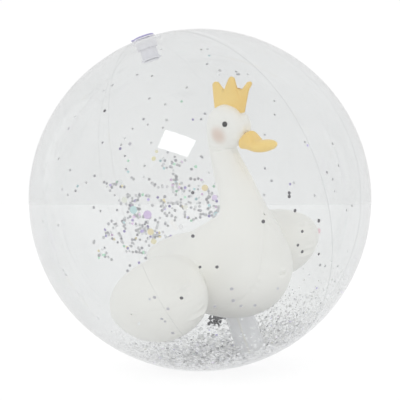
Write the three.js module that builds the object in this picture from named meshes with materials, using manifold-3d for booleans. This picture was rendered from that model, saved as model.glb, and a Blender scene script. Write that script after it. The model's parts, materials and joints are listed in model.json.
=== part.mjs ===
// Clear glitter beach ball with an inflatable swan inside, in millimetres, +Z up.
// The ball lies at rest on a small flat patch; its polar axis leans to -X.
// Everything is drawn in the ball's own polar frame (+Z through the inflation valve)
// and one group leans it over and lifts it on to the floor.

import * as THREE from 'three';
import { mergeVertices } from 'three/addons/utils/BufferGeometryUtils.js';
import Module from 'manifold-3d';

const wasm = await Module();
wasm.setup();

// ---- driving dimensions -------------------------------------------------------------
const BALL_RADIUS = 175;
const WALL = 0.6;
const GAP = 0.3; // left between pieces that are welded or rest on each other
const CONTACT_RADIUS = 24; // flat patch that the ball's weight presses on the floor
const GORE_COUNT = 6;
const FIRST_SEAM_DEG = -112; // longitude of the first seam
const CAP_HALF_DEG = 13; // polar patch, measured from the pole
const LEAN_LEFT_DEG = 19; // polar axis towards -X
const LEAN_FRONT_DEG = 4; // polar axis towards -Y
const SWAN_HEADING_DEG = -46; // the swan looks along this longitude
const SKIN = 0.7; // sheet thickness of the swan

// ---- helpers ------------------------------------------------------------------------
const deg = THREE.MathUtils.degToRad;

function vec(x, y, z) {
  return new THREE.Vector3(x, y, z);
}

function toSolid(geometry) {
  const bare = geometry.clone();
  bare.deleteAttribute('normal');
  bare.deleteAttribute('uv');
  const merged = mergeVertices(bare, 1e-4);
  const mesh = new wasm.Mesh({
    numProp: 3,
    vertProperties: new Float32Array(merged.attributes.position.array),
    triVerts: new Uint32Array(merged.index.array),
  });
  return new wasm.Manifold(mesh);
}

function toGeometry(solid) {
  const mesh = solid.getMesh();
  const geometry = new THREE.BufferGeometry();
  geometry.setAttribute('position', new THREE.BufferAttribute(mesh.vertProperties, 3));
  geometry.setIndex(new THREE.BufferAttribute(mesh.triVerts, 1));
  geometry.computeVertexNormals();
  return geometry;
}

// The closed solid between two grids of points, outer(i, j) and inner(i, j).
function shellBetween(outer, inner, rows, columns) {
  const points = [];
  const faces = [];
  const at = (side, i, j) => (side * (rows + 1) + i) * (columns + 1) + j;
  for (const surface of [outer, inner]) {
    for (let i = 0; i <= rows; i += 1) {
      for (let j = 0; j <= columns; j += 1) points.push(...surface(i, j).toArray());
    }
  }
  const quad = (a, b, c, d) => faces.push(a, b, c, a, c, d);
  for (let i = 0; i < rows; i += 1) {
    for (let j = 0; j < columns; j += 1) {
      quad(at(0, i, j), at(0, i + 1, j), at(0, i + 1, j + 1), at(0, i, j + 1));
      quad(at(1, i, j), at(1, i, j + 1), at(1, i + 1, j + 1), at(1, i + 1, j));
    }
  }
  for (let i = 0; i < rows; i += 1) {
    quad(at(0, i, 0), at(1, i, 0), at(1, i + 1, 0), at(0, i + 1, 0));
    quad(at(0, i + 1, columns), at(1, i + 1, columns), at(1, i, columns), at(0, i, columns));
  }
  for (let j = 0; j < columns; j += 1) {
    quad(at(0, 0, j + 1), at(1, 0, j + 1), at(1, 0, j), at(0, 0, j));
    quad(at(0, rows, j), at(1, rows, j), at(1, rows, j + 1), at(0, rows, j + 1));
  }
  const geometry = new THREE.BufferGeometry();
  geometry.setAttribute('position', new THREE.Float32BufferAttribute(points, 3));
  geometry.setIndex(faces);
  return geometry;
}

// A body of revolution about +Z from a closed outline of [radius, height] pairs.
function turned(outline, segments) {
  const points = outline.map(([radius, height]) => new THREE.Vector2(radius, height));
  return new THREE.LatheGeometry(points, segments).rotateX(Math.PI / 2);
}

function solidTurned(outline, segments) {
  const solid = toSolid(turned(outline, segments));
  return solid.volume() > 0 ? solid : toSolid(turned([...outline].reverse(), segments));
}

function box(x0, x1, y0, y1, z0, z1) {
  const geometry = new THREE.BoxGeometry(x1 - x0, y1 - y0, z1 - z0);
  return geometry.translate((x0 + x1) / 2, (y0 + y1) / 2, (z0 + z1) / 2);
}

function material(color, roughness, opacity = 1) {
  return new THREE.MeshStandardMaterial({
    color,
    roughness,
    metalness: 0,
    opacity,
    transparent: opacity < 1,
    side: THREE.DoubleSide,
  });
}

const clearVinyl = material(0xe6e9ec, 0.08, 0.25);
const lilacVinyl = material(0xb9aee0, 0.2, 0.6);
const plumVinyl = material(0x4a3a7a, 0.3);
const whiteVinyl = material(0xf2f0ea, 0.35);
const goldVinyl = material(0xecc66a, 0.35);
const eyeInk = material(0x2b2b2e, 0.4);
const glitter = material(0xb8b6c4, 0.3);

function named(name, geometry, surface) {
  const mesh = new THREE.Mesh(geometry, surface);
  mesh.name = name;
  return mesh;
}

// ---- where the ball stands ----------------------------------------------------------
const ball = new THREE.Group();
ball.position.z = Math.sqrt(BALL_RADIUS ** 2 - CONTACT_RADIUS ** 2);
ball.rotation.order = 'YXZ';
ball.rotation.set(deg(LEAN_FRONT_DEG), deg(-LEAN_LEFT_DEG), 0);
ball.updateMatrixWorld(true);
const worldToBall = ball.matrixWorld.clone().invert();

// ---- the ball's wall ----------------------------------------------------------------
const GORE_COLUMNS = 6;
const GORE_ROWS = 16;
const CAP_SEGMENTS = GORE_COUNT * GORE_COLUMNS;
const CAP_ROWS = 3;
const STEM_HOLE_RADIUS = 9.6;

function onSphere(radius, latitude, longitude) {
  const ring = radius * Math.cos(latitude);
  return vec(ring * Math.cos(longitude), ring * Math.sin(longitude), radius * Math.sin(latitude));
}

function goreBetween(index, outerRadius, innerRadius) {
  const topLatitude = deg(90 - CAP_HALF_DEG);
  const start = deg(FIRST_SEAM_DEG + (index * 360) / GORE_COUNT);
  const width = deg(360 / GORE_COUNT);
  const surface = (radius) => (i, j) => {
    const latitude = topLatitude * (1 - (2 * i) / GORE_ROWS);
    const trim = GAP / 2 / (BALL_RADIUS * Math.cos(latitude));
    const longitude = start + trim + ((width - 2 * trim) * j) / GORE_COLUMNS;
    return onSphere(radius, latitude, longitude);
  };
  return shellBetween(surface(outerRadius), surface(innerRadius), GORE_ROWS, GORE_COLUMNS);
}

function capProfile(outerRadius, innerRadius, holeRadius) {
  const edge = deg(CAP_HALF_DEG) - GAP / BALL_RADIUS;
  const arc = (radius) => {
    const first = Math.asin(holeRadius / radius);
    return Array.from({ length: CAP_ROWS + 1 }, (_, i) => {
      const angle = first + ((edge - first) * i) / CAP_ROWS;
      return [radius * Math.sin(angle), radius * Math.cos(angle)];
    });
  };
  const outline = [...arc(outerRadius), ...arc(innerRadius).reverse()];
  return [...outline, outline[0]];
}

const FOOT_REACH = 12; // how far the trimming blocks reach through the wall
const FLOOR_HALF = 60; // half width of the block that trims at the floor
const FOOT_SEGMENTS = 36;
const floorBlock = toSolid(
  box(-FLOOR_HALF, FLOOR_HALF, -FLOOR_HALF, FLOOR_HALF, -FOOT_REACH, 0)
    .applyMatrix4(worldToBall),
);
const footDisc = toSolid(
  turned([[0, 0], [CONTACT_RADIUS, 0], [CONTACT_RADIUS, WALL], [0, WALL]], FOOT_SEGMENTS)
    .applyMatrix4(worldToBall),
);

// The wall piece with its floor patch pressed flat.
function pressedOnFloor(wall, thickWall) {
  return wall.subtract(floorBlock).add(footDisc.intersect(thickWall));
}

for (let index = 0; index < GORE_COUNT; index += 1) {
  const wall = toSolid(goreBetween(index, BALL_RADIUS, BALL_RADIUS - WALL));
  const thick = toSolid(
    goreBetween(index, BALL_RADIUS + FOOT_REACH, BALL_RADIUS - FOOT_REACH),
  );
  const gore = toGeometry(pressedOnFloor(wall, thick));
  ball.add(named(`gore_${index + 1}`, gore, clearVinyl));
}

const capWall = solidTurned(
  capProfile(BALL_RADIUS, BALL_RADIUS - WALL, STEM_HOLE_RADIUS), CAP_SEGMENTS,
);
const capThick = solidTurned(
  capProfile(BALL_RADIUS + FOOT_REACH, BALL_RADIUS - FOOT_REACH, STEM_HOLE_RADIUS), CAP_SEGMENTS,
);
const topCap = toGeometry(capWall).rotateZ(deg(FIRST_SEAM_DEG));
ball.add(named('top_cap', topCap, clearVinyl));

const flipped = (solid) => solid.rotate([180, 0, FIRST_SEAM_DEG]);
const bottomCap = toGeometry(pressedOnFloor(flipped(capWall), flipped(capThick)));
ball.add(named('bottom_cap', bottomCap, clearVinyl));

// ---- push-in valves -----------------------------------------------------------------
// Drawn about +Z with height 0 at the wall's outer surface.
const VALVE_SEGMENTS = 20;
const STEM_OUTER = 8.8;
const STEM_BORE = 6;
const STEM_DEPTH = 22;
const LIP_RADIUS = 11.6;
const LIP_THICKNESS = 1.2;
const STOP_RADIUS = 10.6;
const COLLAR_INNER = 9.3;
const COLLAR_DEPTH = 10;
const FLANGE_RADIUS = 17;
const PLUG_RADIUS = 10.4;
const PLUG_THICKNESS = 1.4;
const HINGE_RADIUS = 13.4; // tether hinge, measured from the valve's axis

function underWall(radius) {
  return Math.sqrt((BALL_RADIUS - WALL - GAP) ** 2 - radius ** 2) - BALL_RADIUS;
}

function valveFlange() {
  const collarOuter = COLLAR_INNER + 1.7;
  const plate = 0.9;
  return turned([
    [COLLAR_INNER, underWall(COLLAR_INNER)],
    [FLANGE_RADIUS, underWall(FLANGE_RADIUS)],
    [FLANGE_RADIUS, underWall(FLANGE_RADIUS) - plate],
    [collarOuter, underWall(COLLAR_INNER) - plate],
    [collarOuter, -COLLAR_DEPTH],
    [COLLAR_INNER, -COLLAR_DEPTH],
    [COLLAR_INNER, underWall(COLLAR_INNER)],
  ].reverse(), VALVE_SEGMENTS);
}

function valveStem() {
  const stop = 1.6;
  return turned([
    [STEM_BORE, GAP + LIP_THICKNESS],
    [LIP_RADIUS, GAP + LIP_THICKNESS],
    [LIP_RADIUS, GAP],
    [STEM_OUTER, GAP],
    [STEM_OUTER, stop - STEM_DEPTH],
    [STOP_RADIUS, stop - STEM_DEPTH],
    [STOP_RADIUS, -STEM_DEPTH],
    [STEM_BORE, -STEM_DEPTH],
    [STEM_BORE, GAP + LIP_THICKNESS],
  ].reverse(), VALVE_SEGMENTS);
}

function valveTether() {
  return box(LIP_RADIUS + GAP, HINGE_RADIUS - 0.5, -2.5, 2.5, GAP, GAP + 1);
}

const PLUG_SEAT = 2 * GAP + LIP_THICKNESS;

function valvePlug() {
  const stopperRoot = 5.4;
  const stopperTip = 3.8;
  const stopperDepth = 6.2;
  const dome = 0.5;
  const head = toSolid(turned([
    [0, PLUG_SEAT - stopperDepth],
    [stopperTip, PLUG_SEAT - stopperDepth],
    [stopperRoot, PLUG_SEAT],
    [PLUG_RADIUS, PLUG_SEAT],
    [PLUG_RADIUS, PLUG_SEAT + PLUG_THICKNESS],
    [PLUG_RADIUS - 3, PLUG_SEAT + PLUG_THICKNESS + dome],
    [0, PLUG_SEAT + PLUG_THICKNESS + dome],
  ], VALVE_SEGMENTS));
  const armTop = PLUG_SEAT + PLUG_THICKNESS - 0.2;
  const arm = toSolid(box(PLUG_RADIUS - 1, HINGE_RADIUS + 0.2, -2, 2, PLUG_SEAT, armTop));
  return toGeometry(head.add(arm));
}

function valveFlap() {
  const top = -STEM_DEPTH - GAP;
  return turned([[0, top - 0.8], [8, top - 0.8], [8, top], [0, top]], VALVE_SEGMENTS);
}

function addValve(prefix, hingeLongitude, upsideDown, plugVinyl) {
  const valve = new THREE.Group();
  valve.rotation.order = 'ZXY';
  valve.rotation.set(upsideDown ? Math.PI : 0, 0, deg(hingeLongitude));
  valve.position.z = upsideDown ? -BALL_RADIUS : BALL_RADIUS;
  valve.add(named(`${prefix}_flange`, valveFlange(), lilacVinyl));
  valve.add(named(`${prefix}_stem`, valveStem(), lilacVinyl));
  valve.add(named(`${prefix}_tether`, valveTether(), lilacVinyl));
  valve.add(named(`${prefix}_plug`, valvePlug(), plugVinyl));
  valve.add(named(`${prefix}_flap`, valveFlap(), lilacVinyl));
  ball.add(valve);
}

addValve('ball_valve', 180, false, plumVinyl);
addValve('swan_valve', 11, true, lilacVinyl);

// ---- loft: rings between a back line and a belly line ---------------------------------
// Each station is [back x, back z, belly x, belly z, half width, lens power], where a lens
// power of 1 draws an ellipse and more draws the ring in towards its two seams.
function smoothStations(stations) {
  const pick = (column) => stations.map((station) => station[column]);
  const spline = (values) => {
    const points = values.map((value, index) => vec(index, value, 0));
    const curve = new THREE.CatmullRomCurve3(points, false, 'catmullrom', 0.5);
    return (t) => curve.getPoint(t).y;
  };
  const columns = stations[0].map((_, column) => spline(pick(column)));
  return (t) => columns.map((column) => column(t));
}

// Point of the lofted skin at length t and ring angle, 0 on the back line and pi on the
// belly line; offset moves it along the skin's outward normal.
function loftSkin(stations) {
  const shape = smoothStations(stations);
  const raw = (t, angle) => {
    const [backX, backZ, bellyX, bellyZ, halfWidth, lens] = shape(
      THREE.MathUtils.clamp(t, 0, 1),
    );
    const reach = (1 + Math.cos(angle)) / 2;
    const across = Math.sin(angle);
    return vec(
      bellyX + (backX - bellyX) * reach,
      halfWidth * Math.sign(across) * Math.abs(across) ** lens,
      bellyZ + (backZ - bellyZ) * reach,
    );
  };
  return withOffset(raw, 1);
}

// Lets a skin be asked for at an offset along its normal; facing is +1 where the length
// crossed with the ring direction points out of the form, and -1 where it points in.
function withOffset(raw, facing) {
  return (t, angle, offset) => {
    const point = raw(t, angle);
    const step = 1e-3;
    const inside = THREE.MathUtils.clamp(t, step, 1 - step);
    const along = raw(inside + step, angle).sub(raw(inside - step, angle));
    const around = raw(inside, angle + step).sub(raw(inside, angle - step));
    const normal = along.cross(around).normalize();
    return point.addScaledVector(normal, facing * offset);
  };
}

// A sheet of the skin, SKIN thick, from ring angle from(t) to ring angle to(t).
function loftSheet(skin, t0, t1, from, to, rows, columns) {
  const surface = (offset) => (i, j) => {
    const t = t0 + ((t1 - t0) * i) / rows;
    const angle = from(t) + ((to(t) - from(t)) * j) / columns;
    return skin(t, angle, offset);
  };
  return shellBetween(surface(0), surface(-SKIN), rows, columns);
}

// The whole form as one closed solid, grown by offset, for trimming what meets it.
function loftSolid(skin, offset, rows, columns) {
  const points = [];
  const faces = [];
  const at = (i, j) => i * columns + (j % columns);
  for (let i = 0; i <= rows; i += 1) {
    for (let j = 0; j < columns; j += 1) {
      points.push(...skin(i / rows, (2 * Math.PI * j) / columns, offset).toArray());
    }
  }
  for (let i = 0; i < rows; i += 1) {
    for (let j = 0; j < columns; j += 1) {
      faces.push(at(i, j), at(i + 1, j), at(i + 1, j + 1));
      faces.push(at(i, j), at(i + 1, j + 1), at(i, j + 1));
    }
  }
  for (let j = 1; j < columns - 1; j += 1) {
    faces.push(at(0, 0), at(0, j), at(0, j + 1));
    faces.push(at(rows, 0), at(rows, j + 1), at(rows, j));
  }
  const geometry = new THREE.BufferGeometry();
  geometry.setAttribute('position', new THREE.Float32BufferAttribute(points, 3));
  geometry.setIndex(faces);
  return toSolid(geometry);
}

// ---- the swan -------------------------------------------------------------------------
// Its own frame: +X ahead, +Y to its left, +Z up, origin at the ball's centre.
const swan = new THREE.Group();
swan.rotation.z = deg(SWAN_HEADING_DEG);
ball.add(swan);

const BODY_ROWS = 32;
const BODY_COLUMNS = 7; // of one side panel
const TRIM_ROWS = 90; // of the whole body, where it trims other pieces
const TRIM_COLUMNS = 40;
const bodySkin = loftSkin([
  [-106.6, -40, -106.8, -40.8, 0.4, 1],
  [-93, -36, -98, -58, 15, 1],
  [-72, -31, -78, -88, 31, 1],
  [-42, -26, -45, -113, 44, 1],
  [-14, -23, 0, -128, 49, 1],
  [10, -21, 44, -125, 48, 1],
  [25, -19, 74, -101, 43, 1],
  [32, -13, 80.5, -64, 32.5, 1.1],
  [33, -4, 79.5, -28, 22.5, 1.3],
  [33, 7, 78, -4, 18, 1.4],
  [34.5, 22, 74.5, 17, 15.5, 1.4],
  [37.5, 36, 71, 33, 14, 1.4],
  [40, 46, 70, 40.5, 14, 1.3],
  [43.5, 58, 71, 41.5, 14.5, 1.2],
  [50, 72, 74, 41.5, 16.3, 1.1],
  [60, 82.5, 78, 41.8, 17.2, 1.05],
  [76.5, 84.8, 82.5, 42.8, 16.2, 1],
  [90, 76.5, 86.5, 45, 12.8, 1],
  [94.5, 63, 89, 47.6, 8.6, 1],
  [93.2, 54, 91, 50.3, 2.5, 1],
  [92.8, 52.6, 92.2, 51.6, 0.4, 1],
]);
const bodySolid = loftSolid(bodySkin, GAP, TRIM_ROWS, TRIM_COLUMNS);

// The belly gusset spans this much of each side of the ring, and runs out at both ends.
const GUSSET_START = 0.08;
const GUSSET_END = 0.4;
const GUSSET_HALF = deg(52);
const GUSSET_ROWS = 14;
const GUSSET_COLUMNS = 6;
const SEAM_TRIM = 0.012; // ring angle left out on each side of a seam

function gussetHalf(t) {
  const along = (t - GUSSET_START) / (GUSSET_END - GUSSET_START);
  if (along <= 0 || along >= 1) return 0;
  return GUSSET_HALF * Math.sin(Math.PI * along) ** 0.7;
}

// Moves a whole sheet off the middle plane, so that left and right never touch.
function apart(geometry, side) {
  return geometry.translate(0, (side * GAP) / 2, 0);
}

const seamTrim = (t) => (gussetHalf(t) > 0 ? SEAM_TRIM : 0);
const sideEnd = (t) => Math.PI - gussetHalf(t) - seamTrim(t);
const leftPanel = loftSheet(bodySkin, 0, 1, () => 0, sideEnd, BODY_ROWS, BODY_COLUMNS);
const rightPanel = loftSheet(
  bodySkin, 0, 1, (t) => -sideEnd(t), () => 0, BODY_ROWS, BODY_COLUMNS,
);
const gusset = loftSheet(
  bodySkin, GUSSET_START + 0.02, GUSSET_END - 0.02,
  (t) => Math.PI - gussetHalf(t) + SEAM_TRIM, (t) => Math.PI + gussetHalf(t) - SEAM_TRIM,
  GUSSET_ROWS, GUSSET_COLUMNS,
);
swan.add(named('swan_left_panel', apart(leftPanel, 1), whiteVinyl));
swan.add(named('swan_right_panel', apart(rightPanel, -1), whiteVinyl));
swan.add(named('swan_belly_gusset', gusset, whiteVinyl));

// Wings, drawn as a loft that runs outwards: its "back line" is the wing's rear edge and
// its "belly line" the front edge, so the two sheets meet along the wing's outline.
// Each station is [how far out, rear x, front x, middle z, half height].
const WING_STATIONS = [
  [36, -66, 26, -70, 31],
  [52, -70, 31, -72.5, 34],
  [75, -74, 43, -77, 38.5],
  [100, -68, 47, -78, 37],
  [118, -50, 40, -76, 26],
  [127, -27, 22, -75, 12],
  [129.5, -4.5, -2.5, -75, 0.4],
];
const WING_ROWS = 10;
const WING_COLUMNS = 9;

function wingSkin(side) {
  const shape = smoothStations(WING_STATIONS);
  const raw = (t, angle) => {
    const [out, rear, front, middle, half] = shape(THREE.MathUtils.clamp(t, 0, 1));
    const reach = (1 + Math.cos(angle)) / 2;
    return vec(rear + (front - rear) * reach, side * out, middle + half * Math.sin(angle));
  };
  return withOffset(raw, -side);
}

for (const [name, side] of [['left', 1], ['right', -1]]) {
  const skin = wingSkin(side);
  for (const [half, turn] of [['upper', 0], ['lower', Math.PI]]) {
    const first = side > 0 ? turn + Math.PI : turn;
    const last = side > 0 ? turn : turn + Math.PI;
    const sheet = loftSheet(skin, 0, 1, () => first, () => last, WING_ROWS, WING_COLUMNS);
    sheet.translate(0, 0, half === 'upper' ? GAP / 2 : -GAP / 2);
    const trimmed = toGeometry(toSolid(sheet).subtract(bodySolid));
    swan.add(named(`${name}_wing_${half}`, trimmed, whiteVinyl));
  }
}

// Beak: a small loft in two halves, its root trimmed to the face.
const BEAK_ROWS = 14;
const BEAK_COLUMNS = 6;
const beakSkin = loftSkin([
  [86, 50, 80, 38, 8, 1],
  [93, 52, 87, 35.5, 9, 1],
  [97.3, 51.4, 92, 32.8, 9.8, 1],
  [99.2, 46.8, 96.3, 30.8, 10, 1],
  [100.8, 42.2, 100.5, 29.6, 10, 1],
  [104.5, 40.4, 104.5, 28.6, 9.8, 1],
  [110, 39.6, 110, 28, 9.2, 1],
  [116, 37.8, 115.5, 28.2, 7.4, 1],
  [119.6, 35.4, 119.4, 29.8, 4.6, 1],
  [121.2, 32.6, 121.2, 32, 0.3, 1],
]);
for (const [name, side] of [['left', 1], ['right', -1]]) {
  const sheet = loftSheet(
    beakSkin, 0, 1,
    () => (side > 0 ? 0 : -Math.PI), () => (side > 0 ? Math.PI : 0),
    BEAK_ROWS, BEAK_COLUMNS,
  );
  const trimmed = toGeometry(toSolid(apart(sheet, side)).subtract(bodySolid));
  swan.add(named(`beak_${name}`, trimmed, goldVinyl));
}

// Crown: two flat plies of one outline, standing on the seam over the head.
const CROWN_OUTLINE = [
  [61.2, 79], [63.5, 88], [69.6, 106.2], [73.4, 108], [77.4, 106.2], [80.8, 98.2], [83, 96.4],
  [86.2, 97.4], [91.4, 105.4], [95, 106.8], [98.4, 104.4], [97.6, 93.4], [98.4, 90.4],
  [101.6, 90.6], [112.6, 96], [116.2, 95.6], [117, 92.8], [110.4, 88.4], [96.6, 70],
];
const crownShape = new THREE.Shape(CROWN_OUTLINE.map(([x, z]) => new THREE.Vector2(x, z)));
for (const [name, side] of [['left', 1], ['right', -1]]) {
  const ply = new THREE.ExtrudeGeometry(crownShape, { depth: SKIN, bevelEnabled: false });
  ply.rotateX(Math.PI / 2);
  ply.translate(0, side > 0 ? GAP / 2 + SKIN : -GAP / 2, 0);
  const trimmed = toGeometry(toSolid(ply).subtract(bodySolid));
  swan.add(named(`crown_${name}_ply`, trimmed, goldVinyl));
}

// Eyes: round printed dots, cut from the layer just over the head's skin.
const HEAD_CENTRE = vec(72.4, 0, 63);
const EYE_RADIUS = 2.7;
const EYE_FILM = 0.4;
const EYE_CORE_LENGTH = 16; // reaches through the head's side from outside
const eyeLayer = loftSolid(bodySkin, GAP + EYE_FILM, TRIM_ROWS, TRIM_COLUMNS)
  .subtract(bodySolid);
for (const [name, side] of [['left', 1], ['right', -1]]) {
  const towards = vec(9.6, side * 15.4, 2.7).normalize();
  const core = new THREE.CylinderGeometry(EYE_RADIUS, EYE_RADIUS, EYE_CORE_LENGTH, 16);
  core.applyQuaternion(new THREE.Quaternion().setFromUnitVectors(vec(0, 1, 0), towards));
  core.translate(...HEAD_CENTRE.clone().addScaledVector(towards, EYE_CORE_LENGTH).toArray());
  swan.add(named(`${name}_eye`, toGeometry(toSolid(core).intersect(eyeLayer)), eyeInk));
}

// ---- the tube that ties the swan to the bottom of the ball ------------------------------
const TUBE_INNER = 13.8;
const TUBE_OUTER = 15;
const TUBE_FOOT = -BALL_RADIUS + 4;
const TUBE_TOP = -100; // inside the belly, before it is trimmed there
const TUBE_SEGMENTS = 24;
const tube = solidTurned([
  [TUBE_INNER, TUBE_FOOT], [TUBE_OUTER, TUBE_FOOT],
  [TUBE_OUTER, TUBE_TOP], [TUBE_INNER, TUBE_TOP], [TUBE_INNER, TUBE_FOOT],
], TUBE_SEGMENTS);
swan.add(named('anchor_tube', toGeometry(tube.subtract(bodySolid)), lilacVinyl));

// ---- loose glitter, settled over the floor patch ----------------------------------------
const HEAP_RADIUS = 38;
const HEAP_RISE = 1.5; // how far its middle stands over its rim
const HEAP_STEPS = 5;
const HEAP_SEGMENTS = 28;
const heapRadius = BALL_RADIUS - WALL - 1;
const heapFloor = WALL + GAP;
const heapArc = Array.from({ length: HEAP_STEPS + 1 }, (_, i) => {
  const start = Math.sqrt(heapRadius ** 2 - (ball.position.z - heapFloor) ** 2);
  const radius = start + ((HEAP_RADIUS - start) * i) / HEAP_STEPS;
  return [radius, ball.position.z - Math.sqrt(heapRadius ** 2 - radius ** 2)];
});
const heapTop = heapArc[heapArc.length - 1][1];
const heap = turned([[0, heapFloor], ...heapArc, [0, heapTop + HEAP_RISE]], HEAP_SEGMENTS);
ball.add(named('glitter_heap', heap.applyMatrix4(worldToBall), glitter));

export default ball;
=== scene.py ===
"""Clear glitter beach ball with a crowned swan inside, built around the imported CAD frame."""

import json
import math

import bmesh
import bpy
import numpy as np
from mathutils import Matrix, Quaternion, Vector, kdtree


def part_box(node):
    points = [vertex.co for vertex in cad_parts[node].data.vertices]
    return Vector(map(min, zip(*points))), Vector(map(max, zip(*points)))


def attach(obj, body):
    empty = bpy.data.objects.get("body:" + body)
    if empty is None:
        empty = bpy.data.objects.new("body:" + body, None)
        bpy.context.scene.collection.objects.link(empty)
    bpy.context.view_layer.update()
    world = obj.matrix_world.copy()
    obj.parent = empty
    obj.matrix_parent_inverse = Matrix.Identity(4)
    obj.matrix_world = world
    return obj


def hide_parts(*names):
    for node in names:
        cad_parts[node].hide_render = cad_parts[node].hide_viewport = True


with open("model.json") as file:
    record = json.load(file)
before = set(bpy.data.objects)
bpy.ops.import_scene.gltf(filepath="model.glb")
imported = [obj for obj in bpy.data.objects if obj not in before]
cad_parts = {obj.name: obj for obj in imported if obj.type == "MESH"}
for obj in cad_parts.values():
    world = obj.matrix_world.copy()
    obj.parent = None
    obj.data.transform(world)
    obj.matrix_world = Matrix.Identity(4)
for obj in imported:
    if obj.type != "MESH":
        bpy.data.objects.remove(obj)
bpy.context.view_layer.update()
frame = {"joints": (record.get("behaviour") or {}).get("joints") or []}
rng = np.random.default_rng(7)

# ---- driving values, in metres and degrees ---------------------------------------------
MM = 0.001
WALL = 0.6 * MM
SKIN = 0.7 * MM
GORES = 6
FIRST_SEAM_DEG = -112
CAP_HALF_DEG = 13
SWAN_HEADING_DEG = -46


def joint(name):
    return next(j for j in frame["joints"] if j["name"] == name)


def unit(v):
    v = np.asarray(v, float)
    return v / np.linalg.norm(v, axis=-1, keepdims=True)


# ---- the ball's own frame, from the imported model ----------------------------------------
gore_corners = np.array([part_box(f"gore_{k + 1}") for k in range(GORES)])
ball_low, ball_high = gore_corners.min(axis=(0, 1)), gore_corners.max(axis=(0, 1))
RADIUS = round((ball_high[0] - ball_low[0]) / 2 / MM) * MM
CENTRE = np.array([0.0, 0.0, ball_high[2] - RADIUS])

POLE = unit(joint("ball_valve_pop_out")["axis"])
SWAN_LEFT = unit(joint("swan_nod")["axis"])
SWAN_AHEAD = np.cross(SWAN_LEFT, POLE)
heading = math.radians(SWAN_HEADING_DEG)
POLAR_X = math.cos(heading) * SWAN_AHEAD - math.sin(heading) * SWAN_LEFT
POLAR_Y = math.sin(heading) * SWAN_AHEAD + math.cos(heading) * SWAN_LEFT


def from_polar(points):
    """Points in the ball's polar frame, origin at its centre, to the shared frame."""
    return CENTRE + points @ np.array([POLAR_X, POLAR_Y, POLE])


def from_swan(points):
    """Points in the swan's frame (ahead, left, up from the ball's centre) to the shared frame."""
    return CENTRE + points @ np.array([SWAN_AHEAD, SWAN_LEFT, POLE])


# ---- mesh helpers -----------------------------------------------------------------------
def make_piece(name, points, faces, material, body, nodes=(), smooth=True):
    mesh = bpy.data.meshes.new(name)
    mesh.from_pydata(np.asarray(points).tolist(), [], [list(map(int, f)) for f in faces])
    mesh.validate()
    mesh.polygons.foreach_set("use_smooth", [smooth] * len(mesh.polygons))
    mesh.materials.append(material)
    obj = bpy.data.objects.new(name, mesh)
    bpy.context.scene.collection.objects.link(obj)
    if smooth:
        mesh.set_sharp_from_angle(angle=math.radians(50))
    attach(obj, body)
    if nodes:
        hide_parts(*nodes)
    return obj


def sheet_faces(rows, columns):
    """Faces of the closed sheet between two (rows+1) by (columns+1) grids, stacked outer, inner."""
    grid = np.arange((rows + 1) * (columns + 1)).reshape(rows + 1, columns + 1)
    back = grid + grid.size
    a, b = grid[:-1, :-1].ravel(), grid[1:, :-1].ravel()
    c, d = grid[1:, 1:].ravel(), grid[:-1, 1:].ravel()
    faces = [np.stack([a, b, c, d], 1)]
    a, b = back[:-1, :-1].ravel(), back[1:, :-1].ravel()
    c, d = back[1:, 1:].ravel(), back[:-1, 1:].ravel()
    faces.append(np.stack([a, d, c, b], 1))
    for f, g in ((grid[:, 0], back[:, 0]), (grid[::-1, -1], back[::-1, -1])):
        faces.append(np.stack([f[:-1], g[:-1], g[1:], f[1:]], 1))
    for f, g in ((grid[0, ::-1], back[0, ::-1]), (grid[-1, :], back[-1, :])):
        faces.append(np.stack([f[:-1], g[:-1], g[1:], f[1:]], 1))
    return np.concatenate(faces)


def closed_sheet(outer, inner):
    rows, columns = outer.shape[0] - 1, outer.shape[1] - 1
    points = np.concatenate([outer.reshape(-1, 3), inner.reshape(-1, 3)])
    return points, sheet_faces(rows, columns)


def turned(outline, segments):
    """Closed body of revolution about the local z axis; outline is [radius, height] pairs."""
    outline = np.asarray(outline, float)
    count = len(outline)
    angles = np.linspace(0, 2 * np.pi, segments, endpoint=False)
    points, faces, index = [], [], {}
    for i, (radius, height) in enumerate(outline):
        for j, angle in enumerate(angles):
            if radius < 1e-9 and j:
                index[i, j] = index[i, 0]
                continue
            index[i, j] = len(points)
            points.append([radius * math.cos(angle), radius * math.sin(angle), height])
    for i in range(count):
        k = (i + 1) % count
        if outline[i][0] < 1e-9 and outline[k][0] < 1e-9:
            continue
        for j in range(segments):
            m = (j + 1) % segments
            ring = [index[i, j], index[i, m], index[k, m], index[k, j]]
            face = [v for n, v in enumerate(ring) if v not in ring[:n]]
            if len(face) > 2:
                faces.append(face)
    return np.array(points), faces


def catmull(values, t):
    """Uniform Catmull-Rom through values, with t from 0 to 1 over the whole run."""
    values = np.asarray(values, float)
    padded = np.concatenate([[2 * values[0] - values[1]], values, [2 * values[-1] - values[-2]]])
    place = np.clip(t, 0, 1) * (len(values) - 1)
    i = np.minimum(place.astype(int), len(values) - 2)
    f = place - i
    p0, p1, p2, p3 = (padded[i + k] for k in range(4))
    m1, m2 = (p2 - p0) / 2, (p3 - p1) / 2
    return (
        p1 + m1 * f + (3 * (p2 - p1) - 2 * m1 - m2) * f**2
        + (2 * (p1 - p2) + m1 + m2) * f**3
    )


def surface_normals(grid, facing=1):
    along = np.gradient(grid, axis=0)
    around = np.gradient(grid, axis=1)
    return facing * unit(np.cross(along, around) + 1e-15)


def ripple(points, size, seed):
    """Smooth pseudo-random field from -1 to 1 over points, with features of about size."""
    source = np.random.default_rng(seed)
    total = np.zeros(points.shape[:-1])
    for _ in range(7):
        wave = unit(source.normal(size=3)) * 2 * np.pi / (size * source.uniform(0.8, 1.6))
        total += np.sin(points @ wave + source.uniform(0, 2 * np.pi))
    return total / 7**0.5


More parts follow.
